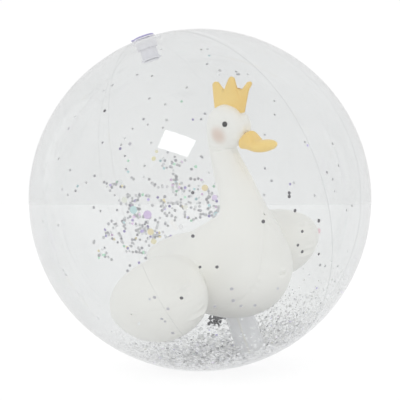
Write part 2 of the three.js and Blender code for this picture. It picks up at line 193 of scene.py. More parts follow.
# ---- materials --------------------------------------------------------------------------
# Noise scales of the vinyl: its cloudy mottling and its fine grain.
MOTTLE = 30
GRAIN = 900
# Share of the light that a clear film scatters instead of letting it straight through.
FILM_HAZE = 0.015
# The blush on a cheek is full out to the first distance and gone at the second.
BLUSH_CORE, BLUSH_EDGE = 2 * MM, 13 * MM


def new_material(name):
    material = bpy.data.materials.new(name)
    material.use_nodes = True
    nodes = material.node_tree.nodes
    nodes.clear()
    output = nodes.new("ShaderNodeOutputMaterial")
    return material, nodes, material.node_tree.links, output


def noise(nodes, links, scale, detail=2.0, roughness=0.5):
    place = nodes.new("ShaderNodeTexCoord")
    node = nodes.new("ShaderNodeTexNoise")
    node.inputs["Scale"].default_value = scale
    node.inputs["Detail"].default_value = detail
    node.inputs["Roughness"].default_value = roughness
    links.new(place.outputs["Object"], node.inputs["Vector"])
    return node.outputs["Fac"]


def ramp(nodes, links, source, low, high, first=0.3, last=0.7):
    node = nodes.new("ShaderNodeValToRGB")
    node.color_ramp.elements[0].position = first
    node.color_ramp.elements[1].position = last
    node.color_ramp.elements[0].color = (*low, 1)
    node.color_ramp.elements[1].color = (*high, 1)
    links.new(source, node.inputs["Fac"])
    return node.outputs["Color"]


def bump(nodes, links, height, strength, distance):
    node = nodes.new("ShaderNodeBump")
    node.inputs["Strength"].default_value = strength
    node.inputs["Distance"].default_value = distance
    links.new(height, node.inputs["Height"])
    return node.outputs["Normal"]


def glancing(nodes, links, head_on=0.034):
    """Share of light mirrored by a thin film, the same from either side of its surface."""
    weight = nodes.new("ShaderNodeLayerWeight")
    weight.inputs["Blend"].default_value = 0.5
    power = nodes.new("ShaderNodeMath")
    power.operation = "POWER"
    power.inputs[1].default_value = 5
    links.new(weight.outputs["Facing"], power.inputs[0])
    share = nodes.new("ShaderNodeMath")
    share.operation = "MULTIPLY_ADD"
    share.inputs[1].default_value = 1 - head_on
    share.inputs[2].default_value = head_on
    links.new(power.outputs[0], share.inputs[0])
    return share.outputs[0]


def film(name, tint):
    """Thin clear vinyl: mostly see-through, a little hazy, mirror-like at its surface."""
    material, nodes, links, output = new_material(name)
    clear = nodes.new("ShaderNodeBsdfTransparent")
    shade = ramp(
        nodes, links, noise(nodes, links, 9, 3),
        [c * 0.985 for c in tint], [min(1, c * 1.008) for c in tint],
    )
    links.new(shade, clear.inputs["Color"])
    cloud = nodes.new("ShaderNodeBsdfDiffuse")
    cloud.inputs["Color"].default_value = (0.92, 0.92, 0.92, 1)
    hazy = nodes.new("ShaderNodeMixShader")
    hazy.inputs["Fac"].default_value = FILM_HAZE
    links.new(clear.outputs[0], hazy.inputs[1])
    links.new(cloud.outputs[0], hazy.inputs[2])
    mirror = nodes.new("ShaderNodeBsdfGlossy")
    mirror.inputs["Color"].default_value = (0.93, 0.93, 0.932, 1)
    mirror.inputs["Roughness"].default_value = 0.035
    fine = bump(nodes, links, noise(nodes, links, 160, 2), 0.02, 0.0004)
    links.new(fine, mirror.inputs["Normal"])
    mix = nodes.new("ShaderNodeMixShader")
    links.new(glancing(nodes, links), mix.inputs["Fac"])
    links.new(hazy.outputs[0], mix.inputs[1])
    links.new(mirror.outputs[0], mix.inputs[2])
    links.new(mix.outputs[0], output.inputs["Surface"])
    return material


def blushed(nodes, links, colour):
    """The colour with a soft rosy print on both cheeks."""
    place = nodes.new("ShaderNodeTexCoord")
    for side in (1, -1):
        away = nodes.new("ShaderNodeVectorMath")
        away.operation = "DISTANCE"
        links.new(place.outputs["Object"], away.inputs[0])
        away.inputs[1].default_value = from_swan(np.array(CHEEK) * [1, side, 1] * MM)
        fade = nodes.new("ShaderNodeMapRange")
        fade.interpolation_type = "SMOOTHSTEP"
        fade.inputs["From Min"].default_value = BLUSH_EDGE
        fade.inputs["From Max"].default_value = BLUSH_CORE
        fade.inputs["To Max"].default_value = 0.9
        links.new(away.outputs["Value"], fade.inputs["Value"])
        mix = nodes.new("ShaderNodeMix")
        mix.data_type = "RGBA"
        links.new(fade.outputs[0], mix.inputs["Factor"])
        links.new(colour, mix.inputs["A"])
        mix.inputs["B"].default_value = (0.80, 0.64, 0.55, 1)
        colour = mix.outputs["Result"]
    return colour


def vinyl(name, low, high, roughness, blush=False):
    """Coloured vinyl sheet with slight mottling and a fine grain."""
    material, nodes, links, output = new_material(name)
    shader = nodes.new("ShaderNodeBsdfPrincipled")
    colour = ramp(nodes, links, noise(nodes, links, MOTTLE, 4), low, high)
    if blush:
        colour = blushed(nodes, links, colour)
    links.new(colour, shader.inputs["Base Color"])
    rough = nodes.new("ShaderNodeMapRange")
    rough.inputs["To Min"].default_value = roughness * 0.85
    rough.inputs["To Max"].default_value = roughness * 1.2
    links.new(noise(nodes, links, MOTTLE * 2, 3), rough.inputs["Value"])
    links.new(rough.outputs[0], shader.inputs["Roughness"])
    grain = bump(nodes, links, noise(nodes, links, GRAIN, 3), 0.05, 0.0003)
    links.new(grain, shader.inputs["Normal"])
    shader.inputs["IOR"].default_value = 1.5
    links.new(shader.outputs[0], output.inputs["Surface"])
    return material


def flake_material():
    """Holographic confetti: each flake has its own tint, held in the mesh."""
    material, nodes, links, output = new_material("holographic_flakes")
    shader = nodes.new("ShaderNodeBsdfPrincipled")
    tint = nodes.new("ShaderNodeAttribute")
    tint.attribute_name = "flake_tint"
    mix = nodes.new("ShaderNodeMix")
    mix.data_type = "RGBA"
    mix.blend_type = "MULTIPLY"
    mix.inputs["Factor"].default_value = 0.25
    links.new(tint.outputs["Color"], mix.inputs["A"])
    grain = ramp(nodes, links, noise(nodes, links, 1200, 2), (0.6, 0.6, 0.7), (1, 1, 1))
    links.new(grain, mix.inputs["B"])
    links.new(mix.outputs["Result"], shader.inputs["Base Color"])
    shader.inputs["Metallic"].default_value = 0.3
    shader.inputs["Roughness"].default_value = 0.45
    links.new(shader.outputs[0], output.inputs["Surface"])
    return material


# Middle of the printed blush on each cheek, in the swan's frame in mm.
CHEEK = (69.7, 16.8, 57.5)

CLEAR = film("clear_vinyl", (0.937, 0.941, 0.941))
FROSTED = vinyl("frosted_vinyl", (0.75, 0.745, 0.80), (0.82, 0.815, 0.86), 0.3)
# Painted light: the tube's clear lilac vinyl is drawn opaque and near-white, lighter than the valves,
# standing in for the light it lets through in the shade under the swan.
TUBE = vinyl("tube_vinyl", (0.93, 0.935, 0.96), (0.97, 0.975, 0.99), 0.25)
WHITE = vinyl("white_vinyl", (0.935, 0.925, 0.885), (0.96, 0.95, 0.91), 0.42, blush=True)
GOLD = vinyl("gold_vinyl", (0.95, 0.64, 0.175), (0.99, 0.72, 0.235), 0.4)
PLUM = vinyl("plum_vinyl", (0.38, 0.35, 0.58), (0.48, 0.45, 0.68), 0.3)
INK = vinyl("eye_ink", (0.012, 0.012, 0.014), (0.03, 0.03, 0.034), 0.4)
FLAKES = flake_material()


# ---- camera, lights, floor --------------------------------------------------------------
CAMERA_DISTANCE = 5 * RADIUS
CAMERA_LENS = 75.6
WORLD_STRENGTH = 1.01
FLOOR_GLOW = 0.825
FLOOR_HALF = 30
camera_data = bpy.data.cameras.new("camera")
camera_data.sensor_width = 36
camera_data.lens = CAMERA_LENS
camera = bpy.data.objects.new("camera", camera_data)
camera.location = Vector(CENTRE) + Vector((0, -CAMERA_DISTANCE, 0))
camera.rotation_euler = (math.radians(90), 0, 0)
bpy.context.scene.collection.objects.link(camera)
bpy.context.scene.camera = camera


def softbox(name, direction, distance, width, height, power, roll_deg=0.0, shape="RECTANGLE"):
    data = bpy.data.lights.new(name, "AREA")
    data.shape = shape
    data.size, data.size_y = width, height
    data.energy = power
    light = bpy.data.objects.new(name, data)
    towards = Vector(unit(direction))
    light.location = Vector(CENTRE) + towards * distance
    light.rotation_mode = "QUATERNION"
    turn = towards.to_track_quat("Z", "Y")
    light.rotation_quaternion = turn @ Quaternion((0, 0, 1), math.radians(roll_deg))
    bpy.context.scene.collection.objects.link(light)


softbox("key_softbox", (-0.225, -0.803, 0.5525), 1.763, 0.58, 0.35, 3.0, roll_deg=-17)
softbox("left_card", (-0.93, 0.16, 0.34), 1.7, 1.5, 1.5, 0.9, shape="DISK")
softbox("right_card", (0.97, -0.08, 0.21), 1.7, 1.5, 1.5, 0.9, shape="DISK")

world = bpy.data.worlds.new("studio")
bpy.context.scene.world = world
world.use_nodes = True
world.node_tree.nodes["Background"].inputs["Color"].default_value = (1, 1, 1, 1)
world.node_tree.nodes["Background"].inputs["Strength"].default_value = WORLD_STRENGTH
bpy.context.scene.view_settings.view_transform = "Standard"


def floor():
    material, nodes, links, output = new_material("pale_floor")
    shader = nodes.new("ShaderNodeBsdfPrincipled")
    colour = ramp(nodes, links, noise(nodes, links, 3, 3), (0.16, 0.16, 0.16), (0.18, 0.18, 0.18))
    links.new(colour, shader.inputs["Base Color"])
    shader.inputs["Roughness"].default_value = 0.9
    shader.inputs["Emission Color"].default_value = (1, 1, 1, 1)
    shader.inputs["Emission Strength"].default_value = FLOOR_GLOW
    links.new(shader.outputs[0], output.inputs["Surface"])
    signs = ((-1, -1), (1, -1), (1, 1), (-1, 1))
    points = [(x * FLOOR_HALF, y * FLOOR_HALF, 0) for x, y in signs]
    mesh = bpy.data.meshes.new("floor")
    mesh.from_pydata(points, [], [(0, 1, 2, 3)])
    mesh.materials.append(material)
    plane = bpy.data.objects.new("floor", mesh)
    bpy.context.scene.collection.objects.link(plane)


floor()


# ---- the ball's wall --------------------------------------------------------------------
WELD_WIDTH = 5.0 * MM
WELD_EDGE = 0.25 * MM
WELD_RISE = 0.09 * MM
SEAM_SLIT = 0.01 * MM


def sphere_points(radius, latitude, longitude):
    latitude, longitude = np.broadcast_arrays(latitude, longitude)
    flat = radius * np.cos(latitude)
    return np.stack(
        [flat * np.cos(longitude), flat * np.sin(longitude), radius * np.sin(latitude)], -1
    )


def pressed(points, floor_height):
    """Keeps the wall above the floor, where the ball's weight flattens it."""
    points = points.copy()
    points[..., 2] = np.maximum(points[..., 2], floor_height)
    return points


def gore(index):
    rows = 96
    top = math.radians(90 - CAP_HALF_DEG)
    latitude = np.linspace(top, -top, rows + 1)[:, None]
    half = RADIUS * np.cos(latitude) * math.pi / GORES
    steps = np.array([0, 0.25, 1.2, 2.5, 3.8, 4.75, 5.0, 7.5]) * MM
    left = np.broadcast_to(steps, (rows + 1, len(steps)))
    middle = 8 * MM + np.linspace(0, 1, 27) * (2 * half - 16 * MM)
    right = 2 * half - steps[::-1][None, :]
    across = np.concatenate([left, middle, right], axis=1)
    across = np.clip(across, SEAM_SLIT, 2 * half - SEAM_SLIT)
    start = math.radians(FIRST_SEAM_DEG + index * 360 / GORES)
    longitude = start + across / (RADIUS * np.cos(latitude))
    shape = sphere_points(RADIUS, latitude, longitude)
    weld = np.clip(across / WELD_EDGE, 0, 1) * np.clip((WELD_WIDTH - across) / WELD_EDGE, 0, 1)
    near = np.minimum(across, 2 * half - across)
    arc = RADIUS * latitude + 0 * across
    pucker = np.sin(arc / (9 * MM) + 2 * np.sin(arc / (31 * MM) + index)) * np.exp(-near / (9 * MM))
    rise = WELD_RISE * weld + 0.05 * MM * pucker + 0.06 * MM * ripple(shape, 70 * MM, 5)
    outward = unit(shape)
    outer = pressed(from_polar(shape + outward * rise[..., None]), 0.0)
    inner = pressed(from_polar(shape - outward * (WALL - 0.05 * MM * pucker)[..., None]), WALL)
    points, faces = closed_sheet(outer, inner)
    make_piece(
        f"gore_{index + 1}_film", points, faces, CLEAR, "ball", [f"gore_{index + 1}"]
    )


for index in range(GORES):
    gore(index)

STEM_HOLE = 9.6 * MM


def polar_cap(name, sign, node):
    """Round patch over the ends of the gores, with a welded rim."""
    edge = math.radians(CAP_HALF_DEG) - SEAM_SLIT / RADIUS
    hole = math.asin(STEM_HOLE / RADIUS)
    span = RADIUS * (edge - hole)
    inset = np.array([0, 0.25, 1.5, 3.5, 4.75, 5.0, 6.5]) * MM
    away = np.concatenate([span - inset, np.linspace(span - 8 * MM, 0, 16)])[::-1]
    angle = hole + away / RADIUS
    turn = np.linspace(0, 2 * np.pi, 97)
    latitude = np.pi / 2 - angle[:, None]
    shape = sphere_points(RADIUS, latitude, turn[None, :])
    weld = np.clip((span - away) / WELD_EDGE, 0, 1) * np.clip(
        (away - span + WELD_WIDTH) / WELD_EDGE, 0, 1
    )
    rise = (WELD_RISE * weld)[:, None] + 0.05 * MM * np.sin(24 * turn)[None, :] * (
        away[:, None] / span
    ) ** 2
    outward = unit(shape)
    outer = shape + outward * rise[..., None]
    inner = shape - outward * WALL
    if sign < 0:
        outer, inner = outer * [1, -1, -1], inner * [1, -1, -1]
    outer, inner = from_polar(outer)[:, :-1], from_polar(inner)[:, :-1]
    outer, inner = pressed(outer, 0.0), pressed(inner, WALL)
    rows, columns = outer.shape[:2]
    profile = np.concatenate([outer, inner[::-1]])
    count = len(profile)
    points = profile.reshape(-1, 3)
    faces = []
    for i in range(count):
        k = (i + 1) % count
        for j in range(columns):
            m = (j + 1) % columns
            faces.append((i * columns + j, k * columns + j, k * columns + m, i * columns + m))
    make_piece(name, points, faces, CLEAR, "ball", [node])


polar_cap("top_cap_film", 1, "top_cap")
polar_cap("bottom_cap_film", -1, "bottom_cap")


# ---- valves -----------------------------------------------------------------------------
STEM_BORE = 6 * MM
STEM_OUTER = 8.8 * MM
STEM_DEPTH = 22 * MM
LIP_RADIUS = 11.6 * MM
LIP_BOTTOM = 0.3 * MM
LIP_TOP = 1.5 * MM
COLLAR_INNER = 9.3 * MM
COLLAR_OUTER = 11 * MM
COLLAR_DEPTH = 10 * MM
FLANGE_RADIUS = 17 * MM
PLUG_SEAT = 1.8 * MM
PLUG_TOP = 3.2 * MM
PLUG_RADIUS = 10.4 * MM
HINGE_RADIUS = 13.4 * MM
TOE_RADIUS = 10.6 * MM
TOE_HEIGHT = 1.6 * MM
FLAP_RADIUS = 8 * MM
FLAP_THICKNESS = 0.8 * MM


def under_wall(radius):
    return math.sqrt((RADIUS - WALL - 0.3 * MM) ** 2 - radius**2) - RADIUS


def rounded(outline, corner, count=3):
    """The outline with each corner replaced by a short arc."""
    outline = np.asarray(outline, float)
    result = []
    for i in range(len(outline)):
        before, here, after = outline[i - 1], outline[i], outline[(i + 1) % len(outline)]
        if here[0] < 1e-9:
            result.append(here)
            continue
        a, b = before - here, after - here
        cut = min(corner, 0.45 * np.linalg.norm(a), 0.45 * np.linalg.norm(b))
        first, last = here + unit(a) * cut, here + unit(b) * cut
        for k in range(count + 1):
            t = k / count
            result.append((1 - t) ** 2 * first + 2 * t * (1 - t) * here + t**2 * last)
    return np.array(result)


def valve_piece(name, local, faces, material, body, node, slot, hinge_deg, upside_down):
    """Places a piece drawn about the valve's own axis, height 0 at the wall's outer surface."""
    turn = math.radians(hinge_deg)
    local = np.asarray(local, float)
    if upside_down:
        local = local * [1, -1, -1]
        lift = -RADIUS
    else:
        lift = RADIUS
    c, s = math.cos(turn), math.sin(turn)
    x, y = local[:, 0] * c - local[:, 1] * s, local[:, 0] * s + local[:, 1] * c
    points = from_polar(np.stack([x, y, local[:, 2] + lift], -1))
    make_piece(name, points, faces, material, body, [node])


def block(x0, x1, y0, y1, z0, z1, corner):
    """A box with rounded long edges, drawn as a short extrusion along y."""
    outline = rounded([[x0, z0], [x1, z0], [x1, z1], [x0, z1]], corner)
    count = len(outline)
    points = [[x, y, z] for y in (y0, y1) for x, z in outline]
    faces = [list(range(count)), list(range(2 * count - 1, count - 1, -1))]
    for i in range(count):
        k = (i + 1) % count
        faces.append([k, i, count + i, count + k])
    return np.array(points), faces


def joined(*parts):
    points, faces, offset = [], [], 0
    for part_points, part_faces in parts:
        points.append(part_points)
        faces.extend([[v + offset for v in face] for face in part_faces])
        offset += len(part_points)
    return np.concatenate(points), faces


def valve(prefix, hinge_deg, upside_down, soft, hard):
    """One pop-out valve: soft and hard are the materials of its tube and of its plug."""
    def put(name, shape, material, body, node, slot):
        valve_piece(name, *shape, material, body, node, slot, hinge_deg, upside_down)

    plate = 0.9 * MM
    flange = rounded([
        [COLLAR_INNER, under_wall(COLLAR_INNER)],
        [COLLAR_INNER, -COLLAR_DEPTH],
        [COLLAR_OUTER, -COLLAR_DEPTH],
        [COLLAR_OUTER, under_wall(COLLAR_OUTER) - plate],
        [FLANGE_RADIUS, under_wall(FLANGE_RADIUS) - plate * 0.6],
        [FLANGE_RADIUS, under_wall(FLANGE_RADIUS)],
    ], 0.3 * MM)
    put(f"{prefix}_flange_ring", turned(flange, 72), soft, "ball", f"{prefix}_flange", "lilac_vinyl")

    stem = rounded([
        [STEM_BORE, LIP_TOP],
        [STEM_BORE, -STEM_DEPTH],
        [TOE_RADIUS, -STEM_DEPTH],
        [TOE_RADIUS, TOE_HEIGHT - STEM_DEPTH],
        [STEM_OUTER, TOE_HEIGHT - STEM_DEPTH],
        [STEM_OUTER, LIP_BOTTOM],
        [LIP_RADIUS, LIP_BOTTOM],
        [LIP_RADIUS, LIP_TOP],
    ], 0.35 * MM)
    tube_body = f"{prefix}_tube"
    put(f"{prefix}_stem_tube", turned(stem, 72), soft, tube_body, f"{prefix}_stem", "lilac_vinyl")

    strap = block(LIP_RADIUS + 0.1 * MM, HINGE_RADIUS - 0.5 * MM, -2.5 * MM, 2.5 * MM,
                  LIP_BOTTOM, LIP_BOTTOM + 1 * MM, 0.3 * MM)
    put(f"{prefix}_tether_strap", strap, soft, tube_body, f"{prefix}_tether", "lilac_vinyl")

    dome = [[r * MM, PLUG_TOP + 0.2 * MM * (1 - (r / 10.4) ** 2)] for r in (0, 2, 4, 6, 8, 9.6)]
    head = [[0, PLUG_SEAT - 6.2 * MM], [3.8 * MM, PLUG_SEAT - 6.2 * MM], [5.4 * MM, PLUG_SEAT],
            [PLUG_RADIUS, PLUG_SEAT], [PLUG_RADIUS, PLUG_TOP], *dome[::-1]]
    arm = block(PLUG_RADIUS - 1 * MM, HINGE_RADIUS + 0.2 * MM, -2 * MM, 2 * MM,
                PLUG_SEAT, PLUG_TOP - 0.2 * MM, 0.3 * MM)
    put(f"{prefix}_plug_cap", joined(turned(rounded(head, 0.4 * MM), 72), arm), hard,
        f"{prefix}_stopper", f"{prefix}_plug", "plum_vinyl" if hard is PLUM else "lilac_vinyl")

    top = -STEM_DEPTH - 0.3 * MM
    under = top - FLAP_THICKNESS
    flap = rounded([[0, top], [0, under], [FLAP_RADIUS, under], [FLAP_RADIUS, top]], 0.3 * MM)
    put(f"{prefix}_flap_disc", turned(flap, 48), soft, f"{prefix}_check", f"{prefix}_flap",
        "lilac_vinyl")


valve("ball_valve", 180, False, FROSTED, PLUM)
valve("swan_valve", 11, True, FROSTED, FROSTED)


# ---- the swan ---------------------------------------------------------------------------
# Stations are [back x, back z, belly x, belly z, half width] in the swan's frame, in mm.
BODY_STATIONS = [
    [-106.6, -40, -106.8, -40.8, 0.4], [-93, -36, -98, -58, 15], [-72, -31, -78, -88, 31],
    [-42, -26, -45, -113, 44], [-14, -23, 0, -128, 49], [10, -21, 44, -125, 48],
    [25, -19, 74, -101, 43], [32, -13, 80.5, -64, 32.5], [33, -4, 79.5, -28, 22.5],
    [33, 7, 78, -4, 18], [34.5, 22, 74.5, 17, 15.5], [37.5, 36, 71, 33, 14],
    [40, 46, 70, 40.5, 14], [43.5, 58, 71, 41.5, 14.5], [50, 72, 74, 41.5, 16.3],
    [60, 82.5, 78, 41.8, 17.2], [76.5, 84.8, 82.5, 42.8, 16.2], [90, 76.5, 86.5, 45, 12.8],
    [94.5, 63, 89, 47.6, 8.6], [93.2, 54, 91, 50.3, 2.5],
    [92.8, 52.6, 92.2, 51.6, 0.4],
]
# How lens-like each ring is: 1 is an ellipse, 2 two plain arcs meeting at the seams.
LENS_POWER = [1, 1, 1, 1, 1, 1, 1, 1.1, 1.3, 1.4, 1.4, 1.4, 1.3, 1.2, 1.1, 1.05, 1, 1, 1, 1, 1]
BEAK_STATIONS = [
    [86, 50, 80, 38, 8], [93, 52, 87, 35.5, 9], [97.3, 51.4, 92, 32.8, 9.8],
    [99.2, 46.8, 96.3, 30.8, 10], [100.8, 42.2, 100.5, 29.6, 10], [104.5, 40.4, 104.5, 28.6, 9.8],
    [110, 39.6, 110, 28, 9.2], [116, 37.8, 115.5, 28.2, 7.4], [119.6, 35.4, 119.4, 29.8, 4.6],
    [121.2, 32.6, 121.2, 32, 0.3],
]
# Wing stations are [how far out, rear x, front x, middle z, half height] in mm.
WING_STATIONS = [
    [36, -66, 26, -70, 31], [52, -70, 31, -72.5, 34], [75, -74, 43, -77, 38.5],
    [100, -68, 47, -78, 37], [118, -50, 40, -76, 26], [127, -27, 22, -75, 12],
    [129.5, -4.5, -2.5, -75, 0.4],
]
GUSSET_START, GUSSET_END, GUSSET_HALF_DEG = 0.08, 0.4, 52


def loft_points(stations, t, angle, power=None):
    """Skin at length t (0 to 1) and ring angle, 0 on the back line, towards the swan's left."""
    columns = np.array(stations, float).T * MM
    back_x, back_z, belly_x, belly_z, half = (catmull(column, t) for column in columns)
    reach = (1 + np.cos(angle)) / 2
    across = np.sin(angle)
    if power is not None:
        across = np.sign(across) * np.abs(across) ** catmull(power, t)
    return np.stack([
        belly_x + (back_x - belly_x) * reach, half * across, belly_z + (back_z - belly_z) * reach,
    ], -1)


def body_points(t, angle):
    return loft_points(BODY_STATIONS, t, angle, LENS_POWER)


def wing_points(side, t, angle):
    columns = np.array(WING_STATIONS, float).T * MM
    out, rear, front, middle, half = (catmull(column, t) for column in columns)
    reach = (1 + np.cos(angle)) / 2
    return np.stack([
        rear + (front - rear) * reach,
        side * out + 0 * reach,
        middle + half * np.sin(angle),
    ], -1)


JOIN_REACH = 34 * MM


def skin_tree(grid, facing):
    """Nearest-point search over a skin, with its outward directions."""
    points = grid.reshape(-1, 3)
    normals = surface_normals(grid, facing).reshape(-1, 3)
    tree = kdtree.KDTree(len(points))
    for i, point in enumerate(points):
        tree.insert(point, i)
    tree.balance()
    return tree, points, normals


def eased_into(grid, normals, other):
    """The skin swelled where it meets another one, so the two run together without a corner."""
    tree, points, directions = other
    flat = grid.reshape(-1, 3)
    found = np.array([tree.find(point)[1] for point in flat])
    away = np.einsum("ij,ij->i", flat - points[found], directions[found])
    share = np.clip(1 - np.abs(away) / JOIN_REACH, 0, 1)
    lean = 0.5 - 0.5 * np.clip(away / JOIN_REACH, -1, 1)
    across = unit(normals.reshape(-1, 3) * (1 - lean)[:, None] + directions[found] * lean[:, None])
    swell = JOIN_REACH / 4 * share**2
    return (flat + across * swell[:, None]).reshape(grid.shape)


# Creases pressed into the skins: [from, to] in the swan's frame in mm, then width and depth.
CREASES = [
    [(42.2, -108.9, -66.2), (41.9, -86.9, -63.4), 2.0, 2.8],
    [(44.9, -108.6, -73.1), (46.2, -98, -71.5), 1.7, 1.6],
    [(40, -101.9, -95.2), (37.1, -76.4, -94.5), 2.0, 2.8],
    [(43, -99, -90), (42, -84, -89), 1.7, 1.6],
    [(51.2, -13.1, 49.6), (64.7, -11.3, 44.6), 1.3, 1.8],
    [(55, -14, 43.9), (64.7, -9.9, 41.6), 1.2, 1.6],
    [(70.3, -1.5, 40), (76, -2, 10), 1.6, 2.2],
    [(77.2, -7.5, -91.1), (77.5, 4.8, -91.5), 1.5, 1.3],
]


def creased(grid):
    """Each crease is a narrow valley with a soft ridge beside it."""
    stand = np.zeros(grid.shape[:2])
    for start, end, width, depth in CREASES:
        for side in (1, -1):
            first = np.array(start) * [1, side, 1] * MM
            run = np.array(end) * [1, side, 1] * MM - first
            along = np.clip((grid - first) @ run / (run @ run), 0, 1)
            offset = grid - first - along[..., None] * run
            away = np.linalg.norm(offset, axis=-1)
            fade = np.sin(np.pi * np.clip(along * 0.9 + 0.05, 0, 1))
            stand -= depth * MM * fade * np.exp(-((away / (width * MM)) ** 2))
            ridge = np.exp(-(((away - 2.2 * width * MM) / (1.3 * width * MM)) ** 2))
            stand += 0.45 * depth * MM * fade * ridge * (offset[..., 2] > 0)
    return stand


def seam_details(grid, seed, seams=(True, True), depth=0.9, reach=4.5, pucker=0.5):
    """How far the skin stands out near its seams, which lie on the first and last columns."""
    step = np.linalg.norm(np.diff(grid, axis=1), axis=-1)
    from_first = np.concatenate([np.zeros((len(grid), 1)), np.cumsum(step, axis=1)], axis=1)
    from_last = from_first[:, -1:] - from_first
    length = np.concatenate(
        [[0], np.cumsum(np.linalg.norm(np.diff(grid[:, 0], axis=0), axis=-1))]
    )[:, None]
    total = np.zeros(grid.shape[:2])
    for used, away in zip(seams, (from_first, from_last)):
        if not used:
            continue
        wave = np.sin(length / (1.7 * MM) + 3 * np.sin(length / (11 * MM) + seed))
        strength = 0.5 + 0.5 * np.sin(length / (14 * MM) + 2 * seed)
        total -= depth * MM * np.exp(-((away / (reach * MM)) ** 2))
        total += pucker * MM * wave * strength * np.exp(-away / (6 * MM)) * (
            1 - np.exp(-((away / (1.2 * MM)) ** 2))
        )
    return total


def skin_sheet(name, grid, facing, material, node, slot, join=None, **details):
    """A closed sheet whose outer face is the grid, worked near its seams."""
    normals = surface_normals(grid, facing)
    stand = seam_details(grid, len(name), **details) + creased(grid)
    for other in join or ():
        grid = eased_into(grid, normals, other)
    if join:
        normals = surface_normals(grid, facing)
    stand = stand + 0.12 * MM * ripple(grid, 35 * MM, 3)
    outer = grid + normals * stand[..., None]
    inner = grid + normals * (stand - SKIN)[..., None]
    if facing < 0:
        outer, inner = outer[:, ::-1], inner[:, ::-1]
    points, faces = closed_sheet(from_swan(outer), from_swan(inner))
    make_piece(name, points, faces, material, "swan", [node])


def even(values_from, values_to, count):
    """Values from one end to the other, set closer together at both ends, near the seams."""
    share = (1 - np.cos(np.linspace(0, np.pi, count))) / 2
    share = 0.5 * share + 0.5 * np.linspace(0, 1, count)
    return values_from + (values_to - values_from) * share


def gusset_half(t):
    along = np.clip((t - GUSSET_START) / (GUSSET_END - GUSSET_START), 0, 1)
    return math.radians(GUSSET_HALF_DEG) * np.sin(np.pi * along) ** 0.7


def swan_body():
    rows, columns = 260, 60
    t = np.linspace(0, 1, rows)[:, None]
    gap = 0.02 * MM
    rim = np.linspace(0, 2 * np.pi, 160)[None, :]
    wings = [skin_tree(wing_points(side, np.linspace(0, 1, 120)[:, None], rim), -side)
             for side in (1, -1)]
    for name, side in (("left", 1), ("right", -1)):
        share = even(0.0, 1.0, columns)[None, :]
        angle = share * (np.pi - gusset_half(t))
        grid = body_points(t, side * angle)
        grid[..., 1] += side * gap
        skin_sheet(f"swan_{name}_side", grid, side, WHITE, f"swan_{name}_panel", "white_vinyl",
                   join=wings, depth=0.5, reach=3)
    t = np.linspace(GUSSET_START + 0.004, GUSSET_END - 0.004, 130)[:, None]
    half = gusset_half(t) - 0.001
    angle = even(np.pi - half, np.pi + half, 60)
    skin_sheet("swan_belly", body_points(t, angle), 1, WHITE, "swan_belly_gusset",
               "white_vinyl", join=wings, depth=0.4, reach=3)


def swan_wings():
    rows, columns = 110, 90
    t = np.linspace(0.03, 1, rows)[:, None]
    rim = np.linspace(0, 2 * np.pi, 200)[None, :]
    body = skin_tree(body_points(np.linspace(0, 1, 260)[:, None], rim), 1)
    for name, side in (("left", 1), ("right", -1)):
        for half, turn in (("upper", 0.0), ("lower", np.pi)):
            angle = even(turn, turn + np.pi, columns)[None, :]
            grid = wing_points(side, t, angle)
            grid[..., 2] += 0.02 * MM if half == "upper" else -0.02 * MM
            skin_sheet(f"{name}_wing_{half}_skin", grid, -side, WHITE, f"{name}_wing_{half}",
                       "white_vinyl", join=[body], depth=0.2, reach=3, pucker=0.15)


def swan_beak():
    t = np.linspace(0.02, 1, 80)[:, None]
    for name, side in (("left", 1), ("right", -1)):
        angle = side * even(0.0, np.pi, 40)[None, :]
        grid = loft_points(BEAK_STATIONS, t, angle)
        grid[..., 1] += side * 0.02 * MM
        skin_sheet(f"beak_{name}_half", grid, side, GOLD, f"beak_{name}", "gold_vinyl",
                   depth=0.25, reach=2, pucker=0.1)


swan_body()
swan_wings()
swan_beak()

CROWN_OUTLINE = [
    [61.2, 79], [63.5, 88], [69.6, 106.2], [73.4, 108], [77.4, 106.2], [80.8, 98.2], [83, 96.4],
    [86.2, 97.4], [91.4, 105.4], [95, 106.8], [98.4, 104.4], [97.6, 93.4], [98.4, 90.4],
    [101.6, 90.6], [112.6, 96], [116.2, 95.6], [117, 92.8], [110.4, 88.4], [96.6, 70],
]


